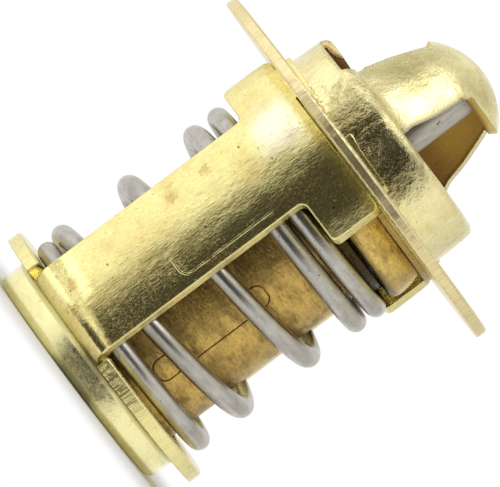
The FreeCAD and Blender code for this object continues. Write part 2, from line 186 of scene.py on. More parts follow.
WHITE = rgb(1.0, 1.0, 1.0)
print("white is", WHITE)

# %% [markdown]
# ## Studio light
# Polished brass has little colour of its own: it shows the room. The room here is a
# white tent with a dark opening at the front, where the camera stands. It could be
# built from panels and lamps, but painting it in the world by compass direction is
# simpler and adds no noise. The opening gives every upright brass surface a dark band,
# with a bright side on its left and a cream side on its right.

# %% The tent's panels
TENT = rgb(0.94, 0.93, 0.91)
OVERHEAD = rgb(0.66, 0.66, 0.64)
UPPER_LEFT = rgb(0.62, 0.61, 0.58)
BACK_RIGHT = rgb(0.72, 0.71, 0.69)
LEFT_SIDE = rgb(1.16, 1.16, 1.16)
LEFT_GLOW = rgb(1.9, 1.9, 1.9)
OPENING = rgb(0.060, 0.056, 0.050)

# Where a fade starts and ends, in degrees of height or of compass bearing
OVERHEAD_FADE = (55.0, 85.0)
BACK_RIGHT_FADE = (115.0, 145.0)
# Left, right, low and high edge, then how soft the sides and the ends are, in degrees
UPPER_LEFT_EDGES = (-130.0, -58.0, 28.0, 54.0, 10.0, 8.0)
LEFT_SIDE_EDGES = (-100.0, -30.0, -30.0, 20.0, 12.0, 8.0)
LEFT_GLOW_EDGES = (-62.0, -24.0, 8.0, 28.0, 8.0, 4.0)
OPENING_EDGES = (-14.0, 63.0, -60.0, 34.0, 12.0, 9.0)
print("the opening is", OPENING_EDGES[1] - OPENING_EDGES[0], "degrees wide")

# %% [markdown]
# The world gets each ray's direction as a vector. Two angles say it more plainly.

# %% Compass bearing and height of a direction
world = bpy.data.worlds.new("tent")
bpy.context.scene.world = world
world.use_nodes = True
sky = world.node_tree
sky.nodes.clear()
direction = add(sky, "ShaderNodeTexCoord").outputs["Generated"]
parts = add(sky, "ShaderNodeSeparateXYZ", {0: direction}).outputs
compass = calculate(sky, "ARCTAN2", parts["X"], calculate(sky, "MULTIPLY", parts["Y"], -1.0))
compass = calculate(sky, "DEGREES", compass)
height = calculate(sky, "DEGREES", calculate(sky, "ARCSINE", parts["Z"]))
print("the sky has", len(sky.nodes), "nodes that find a direction")

# %% Paint the tent
def window(left, right, low, high, soft_side, soft_end):
    """Share of a direction inside a rectangle of compass bearings and heights, in degrees."""
    wide = both(sky, ramp(sky, compass, left - soft_side, left + soft_side),
                ramp(sky, compass, right - soft_side, right + soft_side, 1.0, 0.0))
    tall = both(sky, ramp(sky, height, low - soft_end, low + soft_end),
                ramp(sky, height, high - soft_end, high + soft_end, 1.0, 0.0))
    return both(sky, wide, tall)


tent = blend(sky, ramp(sky, height, *OVERHEAD_FADE), TENT, OVERHEAD)
tent = blend(sky, window(*UPPER_LEFT_EDGES), tent, UPPER_LEFT)
tent = blend(sky, ramp(sky, compass, *BACK_RIGHT_FADE), tent, BACK_RIGHT)
tent = blend(sky, window(*LEFT_SIDE_EDGES), tent, LEFT_SIDE)
tent = blend(sky, window(*LEFT_GLOW_EDGES), tent, LEFT_GLOW)
tent = blend(sky, window(*OPENING_EDGES), tent, OPENING)
print("tent painted with", len(sky.nodes), "nodes")

# %% [markdown]
# The camera shouldn't see the tent, only plain white behind the part. The world can
# tell which ray asks: camera and transmission rays get the white, the rest the tent.

# %% Choose who sees the tent
tent_shader = add(sky, "ShaderNodeBackground", {"Color": tent, "Strength": 1.0}).outputs[0]
plain_white = add(sky, "ShaderNodeBackground", {"Color": WHITE, "Strength": 1.0}).outputs[0]
sky_rays = add(sky, "ShaderNodeLightPath").outputs
straight = either(sky, sky_rays["Is Camera Ray"], sky_rays["Is Transmission Ray"])
mixed = add(sky, "ShaderNodeMixShader", {0: straight, 1: tent_shader, 2: plain_white}).outputs[0]
add(sky, "ShaderNodeOutputWorld", {"Surface": mixed})
print("the world has", len(sky.nodes), "nodes")

# %% [markdown]
# A soft lamp above and in front gives the shapes a direction and the floor a faint
# shadow. A sun would draw a hard one. The lamp stays weak, as the tent lights everything.

# %% Hang the softbox
SOFTBOX_WATTS = 0.9
SOFTBOX_WIDTH = 0.55
SOFTBOX_DEPTH = 0.35
SOFTBOX_COMPASS = math.radians(-4.0)
SOFTBOX_HEIGHT = math.radians(58.0)
SOFTBOX_DISTANCE = 0.8

softbox_data = bpy.data.lights.new("softbox", "AREA")
softbox_data.shape = "RECTANGLE"
softbox_data.size = SOFTBOX_WIDTH
softbox_data.size_y = SOFTBOX_DEPTH
softbox_data.energy = SOFTBOX_WATTS
softbox = bpy.data.objects.new("softbox", softbox_data)
bpy.context.scene.collection.objects.link(softbox)
softbox_side = Vector((math.sin(SOFTBOX_COMPASS) * math.cos(SOFTBOX_HEIGHT),
                       -math.cos(SOFTBOX_COMPASS) * math.cos(SOFTBOX_HEIGHT),
                       math.sin(SOFTBOX_HEIGHT)))
softbox.location = aim + softbox_side * SOFTBOX_DISTANCE
softbox.rotation_euler = softbox_side.to_track_quat("Z", "Y").to_euler()
print("softbox at", tuple(round(c, 2) for c in softbox.location))

# %% [markdown]
# ## Floor
# The part stands on a round sheet of white paper. A plain disc could do, but the
# sleeve comes down as the valve opens and would cut through it, so the sheet has a
# hole. Round the paper, a plain white skirt hides the sleeve's end from above.

# %% Cut the floor
FLOOR_RADIUS = 160.0 * MM
SLEEVE_HOLE = 13.9 * MM
EDGES = 96

floor_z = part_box("cage")[0].z
corners = []
for ring_radius in (SLEEVE_HOLE, FLOOR_RADIUS):
    for i in range(EDGES):
        angle = 2.0 * math.pi * i / EDGES
        corners.append((ring_radius * math.cos(angle), ring_radius * math.sin(angle), floor_z))
faces = [(i, i + EDGES, (i + 1) % EDGES + EDGES, (i + 1) % EDGES) for i in range(EDGES)]
floor_mesh = bpy.data.meshes.new("floor")
floor_mesh.from_pydata(corners, [], faces)
floor = bpy.data.objects.new("floor", floor_mesh)
bpy.context.scene.collection.objects.link(floor)
print("floor at", round(floor_z / MM, 2), "mm with", len(faces), "faces")

# %% [markdown]
# Near the part the paper keeps the shadow. Further out it fades into the white behind,
# as an emission that no shadow darkens, so that it has no visible edge.

# %% Paper that fades into white
SHADOW_RADIUS = 60.0 * MM
FADE_START = 0.4

paper = bpy.data.materials.new("white_paper")
paper.use_nodes = True
tree = paper.node_tree
tree.nodes.clear()
paper_spot = add(tree, "ShaderNodeTexCoord").outputs["Object"]
fibres = add(tree, "ShaderNodeTexNoise", {"Vector": paper_spot, "Scale": 900.0, "Detail": 4.0}).outputs[0]
shade = ramp(tree, fibres, 0.3, 0.7, 0.90, 0.94)
diffuse = add(tree, "ShaderNodeBsdfDiffuse", {"Color": shade}).outputs[0]
glow = add(tree, "ShaderNodeEmission", {"Color": WHITE, "Strength": 1.0}).outputs[0]
from_middle = vector_step(tree, "LENGTH", vector_step(tree, "MULTIPLY", paper_spot, (1.0, 1.0, 0.0)))
far = ramp(tree, from_middle, FADE_START * SHADOW_RADIUS, SHADOW_RADIUS)
rays = add(tree, "ShaderNodeLightPath").outputs
seen = rays["Is Camera Ray"]
mirrored = either(tree, rays["Is Glossy Ray"], rays["Is Transmission Ray"])
shown = either(tree, seen, mirrored)
fading = both(tree, far, shown)
sheet = add(tree, "ShaderNodeMixShader", {0: fading, 1: diffuse, 2: glow}).outputs[0]
print("the paper is plain white from", round(SHADOW_RADIUS / MM), "mm outwards")

# %% [markdown]
# The skirt is there for the camera alone, so that the polished legs aren't filled with
# its reflection. A camera under the paper looks through it.

# %% Keep the skirt for the camera
PAPER_RADIUS = 75.0 * MM

from_below = both(tree, add(tree, "ShaderNodeNewGeometry").outputs["Backfacing"], seen)
beyond = calculate(tree, "GREATER_THAN", from_middle, PAPER_RADIUS)
unlit = both(tree, beyond, calculate(tree, "SUBTRACT", 1.0, seen))
see_through = either(tree, from_below, unlit)
nothing = add(tree, "ShaderNodeBsdfTransparent").outputs[0]
sheet = add(tree, "ShaderNodeMixShader", {0: see_through, 1: sheet, 2: nothing}).outputs[0]
add(tree, "ShaderNodeOutputMaterial", {"Surface": sheet})
floor_mesh.materials.append(paper)
print("the paper has", len(tree.nodes), "nodes and stops at", round(PAPER_RADIUS / MM), "mm for the light")

# %% [markdown]
# ## What the finishes share
# An effect that several finishes use is a node group with named inputs, built once.
# Its nodes could be copied into every material, but a group is mended in one place.

# %% Start and use a node group
def new_group(name, inputs, outputs, kind="ShaderNodeTree"):
    """Start a node group. Its inputs are given as name: (type, default)."""
    tree = bpy.data.node_groups.new(name, kind)
    for label, (socket_type, default) in inputs.items():
        socket = tree.interface.new_socket(label, in_out="INPUT", socket_type="NodeSocket" + socket_type)
        if default is not None:
            socket.default_value = default
    for label, socket_type in outputs.items():
        tree.interface.new_socket(label, in_out="OUTPUT", socket_type="NodeSocket" + socket_type)
    enter = tree.nodes.new("NodeGroupInput")
    leave = tree.nodes.new("NodeGroupOutput")
    return tree, enter.outputs, leave.inputs


def give(tree, leave, **outputs):
    """Link a group's outputs by name."""
    for label, socket in outputs.items():
        tree.links.new(socket, leave[label])
    print(tree.name, "gives", ", ".join(outputs), "from", len(tree.nodes), "nodes")


def use_group(tree, group, values=None):
    """Place a shader node group in a tree with its own values and return its outputs."""
    made = tree.nodes.new("ShaderNodeGroup")
    made.node_tree = group
    fill(tree, made, values)
    return made.outputs


print("helpers for groups: new_group, give, use_group")

# %% [markdown]
# Every finish needs to know where on the part it is. Object coordinates tell that, the
# same way for all pieces. The group turns them into millimetres, and says how far from
# the axis and how high a point is, and which way the surface faces.

# %% Group: place on the part
place_group, enter, leave = new_group("place on the part", {}, {
    "Position": "Vector", "Radius": "Float", "Height": "Float", "Outward": "Float",
    "Up": "Float", "Aside": "Float"})
source = add(place_group, "ShaderNodeTexCoord").outputs
position = vector_step(place_group, "MULTIPLY", source["Object"], (1000.0,) * 3)
level_part = vector_step(place_group, "MULTIPLY", position, (1.0, 1.0, 0.0))
outward_way = vector_step(place_group, "NORMALIZE", level_part)
facing = add(place_group, "ShaderNodeSeparateXYZ", {0: source["Normal"]}).outputs
split = add(place_group, "ShaderNodeSeparateXYZ", {0: position}).outputs
give(place_group, leave, Position=position, Radius=vector_step(place_group, "LENGTH", level_part),
     Height=split["Z"], Outward=vector_step(place_group, "DOT_PRODUCT", outward_way, source["Normal"]),
     Up=facing["Z"], Aside=split["X"])

# %% [markdown]
# Rolling, drawing and stains all leave marks that are longer one way than another. A
# noise on a stretched position gives any of them: a small factor pulls marks out.

# %% Group: streaks
streak_group, enter, leave = new_group("streaks", {
    "Position": ("Vector", None), "Stretch": ("Vector", (1.0, 1.0, 1.0)), "Scale": ("Float", 1.0),
    "Detail": ("Float", 3.0)}, {"Value": "Float"})
pulled = vector_step(streak_group, "MULTIPLY", enter["Position"], enter["Stretch"])
noise = add(streak_group, "ShaderNodeTexNoise", {
    "Vector": pulled, "Scale": enter["Scale"], "Detail": enter["Detail"], "Roughness": 0.6})
give(streak_group, leave, Value=noise.outputs[0])

# %% [markdown]
# Grit and rust leave small round pits at random. A cell pattern puts at most one in
# each cell, and the cell's random colour decides whether there is one and how large.

# %% Group: pits
# The smallest pit, and the flat bottom of each pit, as shares
PIT_LEAST = 0.35
PIT_FLOOR = 0.5

pit_group, enter, leave = new_group("pits", {
    "Position": ("Vector", None), "Spacing": ("Float", 1.0), "Size": ("Float", 0.2),
    "Share": ("Float", 0.3)}, {"Mask": "Float"})
per_spacing = calculate(pit_group, "DIVIDE", 1.0, enter["Spacing"])
cells = add(pit_group, "ShaderNodeTexVoronoi", {"Vector": enter["Position"], "Scale": per_spacing})
chance = add(pit_group, "ShaderNodeSeparateColor", {0: cells.outputs["Color"]}).outputs
chosen = calculate(pit_group, "LESS_THAN", chance[0], enter["Share"])
reach = calculate(pit_group, "MULTIPLY", enter["Size"], calculate(pit_group, "ADD", chance[1], PIT_LEAST))
bottom = calculate(pit_group, "MULTIPLY", reach, PIT_FLOOR)
pit = add(pit_group, "ShaderNodeMapRange", {
    0: cells.outputs["Distance"], 1: bottom, 2: reach, 3: 1.0, 4: 0.0})
give(pit_group, leave, Mask=both(pit_group, chosen, pit.outputs[0]))

# %% [markdown]
# A scratch is a thin line that starts and stops. The middle value of a stretched noise
# runs in such lines, and a second, slower noise keeps only pieces of them.

# %% Group: hairline scratches
# How often a line breaks, per millimetre
LINE_BREAKS = 0.55

scratch_group, enter, leave = new_group("scratches", {
    "Position": ("Vector", None), "Stretch": ("Vector", (1.0, 1.0, 1.0)), "Width": ("Float", 0.01),
    "Share": ("Float", 0.4)}, {"Mask": "Float"})
pulled = vector_step(scratch_group, "MULTIPLY", enter["Position"], enter["Stretch"])
waves = add(scratch_group, "ShaderNodeTexNoise", {"Vector": pulled, "Scale": 1.0, "Detail": 0.0}).outputs[0]
from_line = calculate(scratch_group, "ABSOLUTE", calculate(scratch_group, "SUBTRACT", waves, 0.5))
line = add(scratch_group, "ShaderNodeMapRange", {0: from_line, 1: 0.0, 2: enter["Width"], 3: 1.0, 4: 0.0})
broken = add(scratch_group, "ShaderNodeTexNoise", {
    "Vector": enter["Position"], "Scale": LINE_BREAKS, "Detail": 1.0})
kept = calculate(scratch_group, "LESS_THAN", broken.outputs[0], enter["Share"])
give(scratch_group, leave, Mask=both(scratch_group, line.outputs[0], kept))

# %% [markdown]
# ### Worn brass
# Stamped brass is never a mirror. The rolls leave a grain, drawing it over a die
# leaves a pebbled skin, and handling leaves dents, pits and darker patches. One group
# makes all of this from a few sizes in millimetres. It gives a colour, a roughness and
# a height, and each material turns the height into a normal with its own Bump node.

# %% Helpers for finishes
def streaks(tree, position, stretch, scale, detail):
    """The streaks group with its values."""
    return use_group(tree, streak_group, {
        "Position": position, "Stretch": stretch, "Scale": scale, "Detail": detail})["Value"]


def pitted(tree, position, spacing, size, share):
    """The pits group with its values."""
    return use_group(tree, pit_group, {
        "Position": position, "Spacing": spacing, "Size": size, "Share": share})["Mask"]


def total(tree, *terms, base=0.0):
    """Add up a base and some (value, factor) pairs."""
    result = base
    for value, factor in terms:
        made = add(tree, "ShaderNodeMath", {0: value, 1: factor, 2: result}, operation="MULTIPLY_ADD")
        result = made.outputs[0]
    return result


print("helpers for finishes: streaks, pitted, total")

# %% Worn brass: patches, grain and skin
worn_group, enter, leave = new_group("worn brass", {
    "Position": ("Vector", None), "Fresh": ("Color", rgb(0.9, 0.8, 0.4)),
    "Tarnish": ("Color", rgb(0.6, 0.45, 0.2)), "Patch size": ("Float", 6.0),
    "Patch share": ("Float", 0.5), "Patch stretch": ("Vector", (1.0, 1.0, 1.0)),
    "Grain stretch": ("Vector", (1.0, 1.0, 0.1)), "Grain height": ("Float", 0.001),
    "Skin stretch": ("Vector", (1.0, 1.0, 1.0)), "Mottle": ("Float", 0.1),
    "Skin height": ("Float", 0.003), "Lump height": ("Float", 0.01), "Dent height": ("Float", 0.02),
    "Pit share": ("Float", 0.25), "Shine": ("Float", 0.25), "Flecks": ("Float", 0.2)},
    {"Color": "Color", "Roughness": "Float", "Height": "Float"})
tree = worn_group
position = enter["Position"]
patch_scale = calculate(tree, "DIVIDE", 1.0, enter["Patch size"])
patch_noise = streaks(tree, position, enter["Patch stretch"], patch_scale, 5.0)
patch = both(tree, ramp(tree, patch_noise, 0.42, 0.68), enter["Patch share"])
grain = streaks(tree, position, enter["Grain stretch"], 7.0, 2.0)
skin = streaks(tree, position, enter["Skin stretch"], 2.6, 3.0)
fine = streaks(tree, position, enter["Skin stretch"], 6.0, 2.0)
rough_zone = ramp(tree, streaks(tree, position, (1.0, 1.0, 0.6), 0.33, 2.0), 0.38, 0.62, 0.5, 1.0)
print("patches, grain and skin take", len(tree.nodes), "nodes")

# %% [markdown]
# Handling adds flecks, lumps, dents, blots, pits and specks. Lumps and dents are low
# and wide, so they show in the reflections and not as a colour.

# %% Worn brass: marks of handling
flecks = ramp(tree, fine, 0.50, 0.62)
lumps = streaks(tree, position, (1.0, 1.0, 0.8), 0.85, 2.0)
dents = streaks(tree, position, (1.0, 1.0, 0.7), 0.22, 1.5)
blots = ramp(tree, streaks(tree, position, (1.0, 1.0, 1.0), 0.75, 5.0), 0.62, 0.72)
pits = pitted(tree, position, 0.75, 0.16, enter["Pit share"])
specks = pitted(tree, position, 2.3, 0.10, enter["Pit share"])
print("with the marks of handling", len(tree.nodes), "nodes")

# %% [markdown]
# The colour starts as fresh or tarnished brass, and each mark is painted over it.

# %% Worn brass: colour
BLOT_BROWN = rgb(0.50, 0.34, 0.11)
PIT_BROWN = rgb(0.26, 0.19, 0.08)
SPECK_BROWN = rgb(0.28, 0.15, 0.05)

colour = blend(tree, patch, enter["Fresh"], enter["Tarnish"])
uneven = total(tree, (skin, 2.0), (fine, 2.0), base=-2.0)
mottle = total(tree, (uneven, enter["Mottle"]), base=1.0)
colour = vector_step(tree, "MULTIPLY", colour, mottle)
colour = blend(tree, both(tree, blots, 0.35), colour, BLOT_BROWN)
colour = blend(tree, both(tree, pits, 0.55), colour, PIT_BROWN)
colour = blend(tree, both(tree, specks, 0.8), colour, SPECK_BROWN)
print("with its colour", len(tree.nodes), "nodes")

# %% [markdown]
# The same masks make the metal rougher and raise or sink it, so that all three agree.

# %% Worn brass: roughness and height
PIT_DEPTH = -0.012
SPECK_DEPTH = -0.02

rough_flecks = both(tree, flecks, rough_zone)
rough_skin = both(tree, skin, rough_zone)
rough_lumps = both(tree, lumps, rough_zone)
roughness = total(tree, (patch, 0.10), (skin, 0.10), (pits, 0.25), (enter["Shine"], 1.0),
                  (rough_flecks, enter["Flecks"]))
height = total(tree, (grain, enter["Grain height"]), (rough_skin, enter["Skin height"]),
               (rough_lumps, enter["Lump height"]), (dents, enter["Dent height"]),
               (pits, PIT_DEPTH), (specks, SPECK_DEPTH))
give(worn_group, leave, Color=colour, Roughness=roughness, Height=height)

# %% [markdown]
# ### Sheared edges
# Where the punch cuts through the sheet it leaves upright torn lines: fine stripes
# across the thickness of the ring and the legs, and faintly on the flange's rim. Two
# streaks of different width, pulled out upwards, make them.

# %% Group: sheared edge
TORN_TINT = (0.30, 0.24, 0.20)

shear_group, enter, leave = new_group("sheared edge", {
    "Position": ("Vector", None), "Color": ("Color", rgb(0.8, 0.7, 0.4)), "Depth": ("Float", 0.03),
    "Contrast": ("Float", 0.4)}, {"Color": "Color", "Height": "Float"})
stripes = streaks(shear_group, enter["Position"], (1.0, 1.0, 0.06), 3.2, 4.0)
fine = streaks(shear_group, enter["Position"], (1.0, 1.0, 0.15), 9.0, 2.0)
tone = total(shear_group, (stripes, 0.7), (fine, 0.3))
dark = vector_step(shear_group, "MULTIPLY", enter["Color"], TORN_TINT)
torn = both(shear_group, ramp(shear_group, tone, 0.56, 0.42), enter["Contrast"])
give(shear_group, leave, Color=blend(shear_group, torn, enter["Color"], dark),
     Height=calculate(shear_group, "MULTIPLY", tone, enter["Depth"]))

# %% [markdown]
# ### How every material starts and ends
# Each material is one Principled shader, and the groups give it what changes over the
# surface. A Bevel node rounds the normals at the edges, which is cheaper than cutting
# the edges round.

# %% Start a material
def start_material(name):
    """New material with its shader and the group that says where we are on the part."""
    material = bpy.data.materials.new(name)
    material.use_nodes = True
    tree = material.node_tree
    return material, tree, tree.nodes["Principled BSDF"], use_group(tree, place_group)


def worn(tree, place, **values):
    """The worn brass group with its sizes, written with underscores for spaces."""
    named = {key.replace("_", " "): value for key, value in values.items()}
    return use_group(tree, worn_group, {"Position": place["Position"], **named})


print("helpers that start a material: start_material, worn")

# %% Finish a material and put it on
def finish_surface(tree, shader, colour, roughness, height, rounding=0.0, metallic=1.0):
    """Give the shader its values. Height and the rounding of edges are in millimetres."""
    fill(tree, shader, {"Base Color": colour, "Roughness": roughness, "Metallic": metallic})
    bump = add(tree, "ShaderNodeBump", {"Height": height, "Distance": MM, "Strength": 1.0})
    if rounding > 0.0:
        soft = add(tree, "ShaderNodeBevel", {"Radius": rounding * MM}, samples=4)
        tree.links.new(soft.outputs[0], bump.inputs["Normal"])
    tree.links.new(bump.outputs[0], shader.inputs["Normal"])


def dress(material, *names):
    """Give CAD nodes a material. Their meshes stay as they are."""
    for name in names:
        mesh = nodes[name].data
        mesh.materials.clear()
        mesh.materials.append(material)
    print(material.name, "on", ", ".join(names), "-", len(material.node_tree.nodes), "nodes")


print("helpers that end a material: finish_surface, dress")

# %% [markdown]
# Some marks lie in a band, and others round named places with an uneven edge.

# %% Masks and spots at named places
def between(tree, value, low, high, soft):
    """1 where a value is between two others, with soft ends."""
    return both(tree, ramp(tree, value, low - soft, low + soft),
                ramp(tree, value, high - soft, high + soft, 1.0, 0.0))


def nearest(tree, place, middles):
    """Distance in millimetres to the nearest of some places on the part."""
    distances = [vector_step(tree, "DISTANCE", place["Position"], middle) for middle in middles]
    result = distances[0]
    for distance in distances[1:]:
        result = calculate(tree, "MINIMUM", result, distance)
    return result


def ragged(tree, distance, noise, raggedness, inner, outer, strength):
    """A spot that fades between two distances, which a noise makes uneven."""
    uneven = total(tree, (distance, 1.0), (noise, raggedness))
    return ramp(tree, uneven, inner, outer, strength, 0.0)


print("helpers for marks: between, nearest, ragged")

# %% [markdown]
# ### Cage
# The cage is the brightest piece. Its legs keep the upright grain of the rolled strip
# under a worn, dented skin. The marks that only this piece has come after, one by one.

# %% Cage: worn brass with scratches
RING_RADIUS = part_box("cage")[1].x / MM

material, tree, shader, place = start_material("cage_brass")
spot = place["Position"]
brass = worn(tree, place, Fresh=rgb(0.92, 0.82, 0.36), Tarnish=rgb(0.76, 0.60, 0.22), Patch_size=5.0,
             Patch_share=0.6, Grain_height=0.024, Skin_stretch=(1.0, 1.0, 0.5), Mottle=0.2,
             Skin_height=0.036, Lump_height=0.045, Dent_height=0.19, Pit_share=0.35, Shine=0.08,
             Flecks=0.16)
lines = use_group(tree, scratch_group, {
    "Position": spot, "Stretch": (0.9, 0.9, 0.02), "Width": 0.008, "Share": 0.22})["Mask"]
print("the ring's radius is", round(RING_RADIUS, 2), "mm")

# %% [markdown]
# The legs' sides and the ring's rim are cut edges. A rim point is known by its
# distance from the axis, and a side by facing neither outwards nor up. In one place
# the rim tore below a ragged line instead of shearing, so the stripes are dark there.

# %% Cage: cut edges
TEAR = (11.2, -16.0, -39.9)
TEAR_TOP = -39.0
CALM_STRIPES = 0.12

on_rim = ramp(tree, place["Radius"], RING_RADIUS - 0.25, RING_RADIUS - 0.1)
not_outward = ramp(tree, calculate(tree, "ABSOLUTE", place["Outward"]), 0.55, 0.75, 1.0, 0.0)
not_up = ramp(tree, calculate(tree, "ABSOLUTE", place["Up"]), 0.3, 0.6, 1.0, 0.0)
sheared = either(tree, on_rim, both(tree, both(tree, not_outward, not_up), 0.6))
scallop = streaks(tree, spot, (1.0, 1.0, 0.1), 1.1, 3.0)
ragged_height = total(tree, (place["Height"], 1.0), (scallop, 0.9))
torn_here = both(tree, ramp(tree, nearest(tree, place, [TEAR]), 2.5, 5.5, 1.0, 0.0),
                 ramp(tree, ragged_height, TEAR_TOP - 0.1, TEAR_TOP + 0.1, 1.0, 0.0))
stripe_contrast = total(tree, (torn_here, 0.8), base=CALM_STRIPES)
shear = use_group(tree, shear_group, {
    "Position": spot, "Color": rgb(0.97, 0.87, 0.40), "Depth": 0.05, "Contrast": stripe_contrast})
print("with its cut edges the cage has", len(tree.nodes), "nodes")

# %% [markdown]
# The collar below the ring was drawn over a polished die, so it is paler and smoother.
# Near its top the leg has a pale patch that is a painted highlight.

# %% Cage: collar, edges and the painted highlight
COLLAR_TOP = -41.0
HIGHLIGHT_SPOT = (-3.2, -18.7, -4.4)

collar = ramp(tree, place["Height"], COLLAR_TOP - 0.2, COLLAR_TOP + 0.2, 1.0, 0.0)
colour = blend(tree, both(tree, collar, 0.8), brass["Color"], rgb(1.0, 0.94, 0.50))
colour = blend(tree, sheared, colour, shear["Color"])
colour = blend(tree, both(tree, lines, 0.25), colour, rgb(0.50, 0.38, 0.13))
cloudy = streaks(tree, spot, (1.0, 1.0, 0.7), 0.45, 4.0)
# A near-white patch near the top of the leg: painted highlight.
painted_highlight = ragged(tree, nearest(tree, place, [HIGHLIGHT_SPOT]), cloudy, 5.0, 3.2, 8.0, 0.85)
colour = blend(tree, painted_highlight, colour, rgb(1.0, 0.97, 0.78))
print("with its collar and the rubbed patch", len(tree.nodes), "nodes")

# %% [markdown]
# The leg's foot leans out slightly before it bends into the ring. The CAD mesh may not
# change, so the lean is a relief: it grows with the square of the distance below the
# bend's start, then goes on as a straight slope.

# %% Cage: the leaning foot
FOOT_TOP = -35.0
FOOT_SLANT = -0.12
BEND_LENGTH = 2.5

below_start = total(tree, (place["Height"], -1.0), (place["Aside"], FOOT_SLANT), base=FOOT_TOP)
below_bend = calculate(tree, "MAXIMUM", below_start, 0.0)
past_bend = calculate(tree, "MAXIMUM", total(tree, (below_bend, 1.0), base=-BEND_LENGTH), 0.0)
on_leg = ramp(tree, place["Radius"], RING_RADIUS - 0.45, RING_RADIUS - 0.35, 1.0, 0.0)
on_leg = both(tree, on_leg, ramp(tree, place["Height"], COLLAR_TOP, COLLAR_TOP + 0.2))
lean = total(tree, (calculate(tree, "POWER", below_bend, 2.0), 1.0),
             (calculate(tree, "POWER", past_bend, 2.0), -1.0))
lean = both(tree, lean, on_leg)
print("the foot leans out below", FOOT_TOP, "mm")

# %% [markdown]
# Coolant left freckles and a few brown drops. The drops sit at named places, and a
# noise makes their edges uneven.

# %% Cage: freckles and drops
DROPS = [(-4.3, -18.5, -14.9), (-3.8, -18.6, -20.5), (-2.5, -18.9, -37.2), (0.4, -19.0, -38.9)]

freckle_noise = streaks(tree, spot, (1.0, 1.0, 0.8), 1.3, 3.0)
freckle_zone = streaks(tree, spot, (1.0, 1.0, 0.8), 0.35, 1.0)
freckles = ramp(tree, total(tree, (freckle_noise, 1.0), (freckle_zone, 0.2)), 0.74, 0.82)
colour = blend(tree, both(tree, freckles, 0.4), colour, rgb(0.52, 0.38, 0.10))
drop_noise = streaks(tree, spot, (1.0, 1.0, 1.0), 2.2, 4.0)
drops = ragged(tree, nearest(tree, place, DROPS), drop_noise, 3.0, 2.0, 2.5, 0.55)
colour = blend(tree, drops, colour, rgb(0.52, 0.33, 0.10))
print(len(DROPS), "drops")

# %% [markdown]
# The tool pressed a fine line along the leg's right edge, with a round corner at its
# lower end. The distance to the outline of a rounded rectangle makes a raised line and
# a groove beside it, and ramps keep only the stretch that the real leg has.

# %% Cage: the pressed line
PRESSED_MIDDLE = (0.0, 0.0, -10.0)
PRESSED_REACH = (4.6, 0.0, 13.7)
PRESSED_CORNER = 1.5
GROOVE_ASIDE = 0.5

on_face = add(tree, "ShaderNodeCombineXYZ", {"X": both(tree, on_leg, place["Aside"]), "Z": place["Height"]})
from_centre = vector_step(tree, "ABSOLUTE", vector_step(tree, "SUBTRACT", on_face.outputs[0], PRESSED_MIDDLE))
past_reach = vector_step(tree, "MAXIMUM", vector_step(tree, "SUBTRACT", from_centre, PRESSED_REACH))
away = vector_step(tree, "LENGTH", past_reach)
off_line = calculate(tree, "ABSOLUTE", total(tree, (away, 1.0), base=-PRESSED_CORNER))
off_groove = calculate(tree, "ABSOLUTE", total(tree, (away, 1.0), base=GROOVE_ASIDE - PRESSED_CORNER))
stretch = both(tree, ramp(tree, place["Aside"], 1.2, 4.4), between(tree, place["Height"], -26.0, -10.8, 0.8))
stretch = both(tree, stretch, ramp(tree, place["Outward"], 0.5, 0.8))
pressed = both(tree, ramp(tree, off_line, 0.06, 0.20, 1.0, 0.0), stretch)
groove = both(tree, ramp(tree, off_groove, 0.06, 0.22, 1.0, 0.0), stretch)
colour = blend(tree, both(tree, pressed, 0.4), colour, rgb(1.0, 0.92, 0.52))
print("the pressed line is", PRESSED_REACH[0] + PRESSED_CORNER, "mm from the leg's middle")

# %% [markdown]
# A dark patch on the collar, a painted reflection, comes last. Then all the heights are added up.

# %% Cage: painted reflection on the collar, and put it together
COLLAR_REFLECTION_SPOT = (6.6, -14.6, -43.6)

reflection_noise = streaks(tree, spot, (1.0, 1.0, 1.6), 0.9, 5.0)
# A dark patch on the collar is painted reflection.
painted_collar_reflection = ragged(tree, nearest(tree, place, [COLLAR_REFLECTION_SPOT]), reflection_noise, 4.0, 4.4, 7.2, 0.75)
colour = blend(tree, painted_collar_reflection, colour, rgb(0.20, 0.17, 0.08))
drawn_smooth = ramp(tree, collar, 0.0, 1.0, 1.0, 0.3)
height = total(tree, (both(tree, brass["Height"], drawn_smooth), 1.0), (lines, -0.012),
               (both(tree, sheared, shear["Height"]), 1.0), (lean, 0.08), (pressed, 0.03), (groove, -0.02))
roughness = total(tree, (brass["Roughness"], 1.0), (sheared, 0.08), (collar, -0.04))
finish_surface(tree, shader, colour, roughness, height, rounding=0.22)
dress(material, "cage")

# %% [markdown]
# ### Crown
# The crown is drawn deepest, so its skin is the most pebbled. Drawing also pulls faint
# rings round it.

# %% Crown: worn brass
material, tree, shader, place = start_material("crown_brass")
spot = place["Position"]
brass = worn(tree, place, Fresh=rgb(0.93, 0.85, 0.46), Tarnish=rgb(0.70, 0.56, 0.24), Patch_size=4.0,
             Patch_share=0.5, Grain_stretch=(1.0, 1.0, 0.5), Grain_height=0.012, Skin_height=0.075,
             Lump_height=0.07, Dent_height=0.34, Mottle=0.15, Pit_share=0.2, Shine=0.09, Flecks=0.26)
rings = streaks(tree, spot, (0.35, 0.35, 1.6), 1.1, 3.0)
print("crown brass starts with", len(tree.nodes), "nodes")

# %% [markdown]
# Inside, the crown is a golden brown that darkens downwards, dull with varnish and so
# hardly metallic. The inside is known by facing the axis or facing down.

